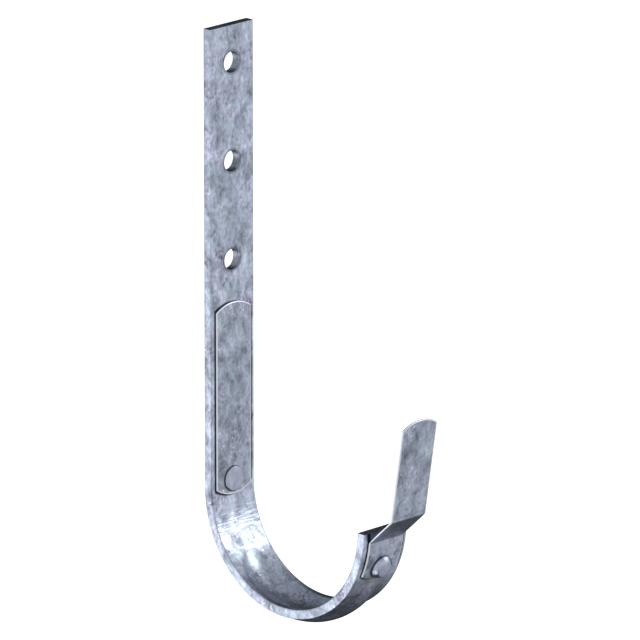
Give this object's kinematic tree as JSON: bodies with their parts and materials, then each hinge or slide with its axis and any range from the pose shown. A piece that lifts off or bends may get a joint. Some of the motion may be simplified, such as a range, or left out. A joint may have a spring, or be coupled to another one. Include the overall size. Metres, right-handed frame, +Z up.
{
  "type": "gutter bracket",
  "caption": "Galvanised half-round gutter bracket: flat-bar hook with a pressed stiffening bead and two riveted spring strips that clip the gutter.",
  "frame": {"origin": "centre of the middle fixing hole, on the back face that lies against the wall", "axes": "+X away from the wall, +Y across the bar, +Z up along the shank"},
  "size_m": [0.1112, 0.025, 0.244],
  "materials": {
    "strap_zinc": "hot-dip galvanised flat bar, mottled satin zinc",
    "spring_zinc": "galvanised spring strip, mottled satin zinc",
    "rivet_zinc": "galvanised rivet, even satin zinc"
  },
  "bodies": {
    "root": {"strap": "strap_zinc", "rear_spring": "spring_zinc", "front_spring": "spring_zinc", "rear_rivet": "rivet_zinc", "front_rivet": "rivet_zinc"}
  },
  "joints": []
}
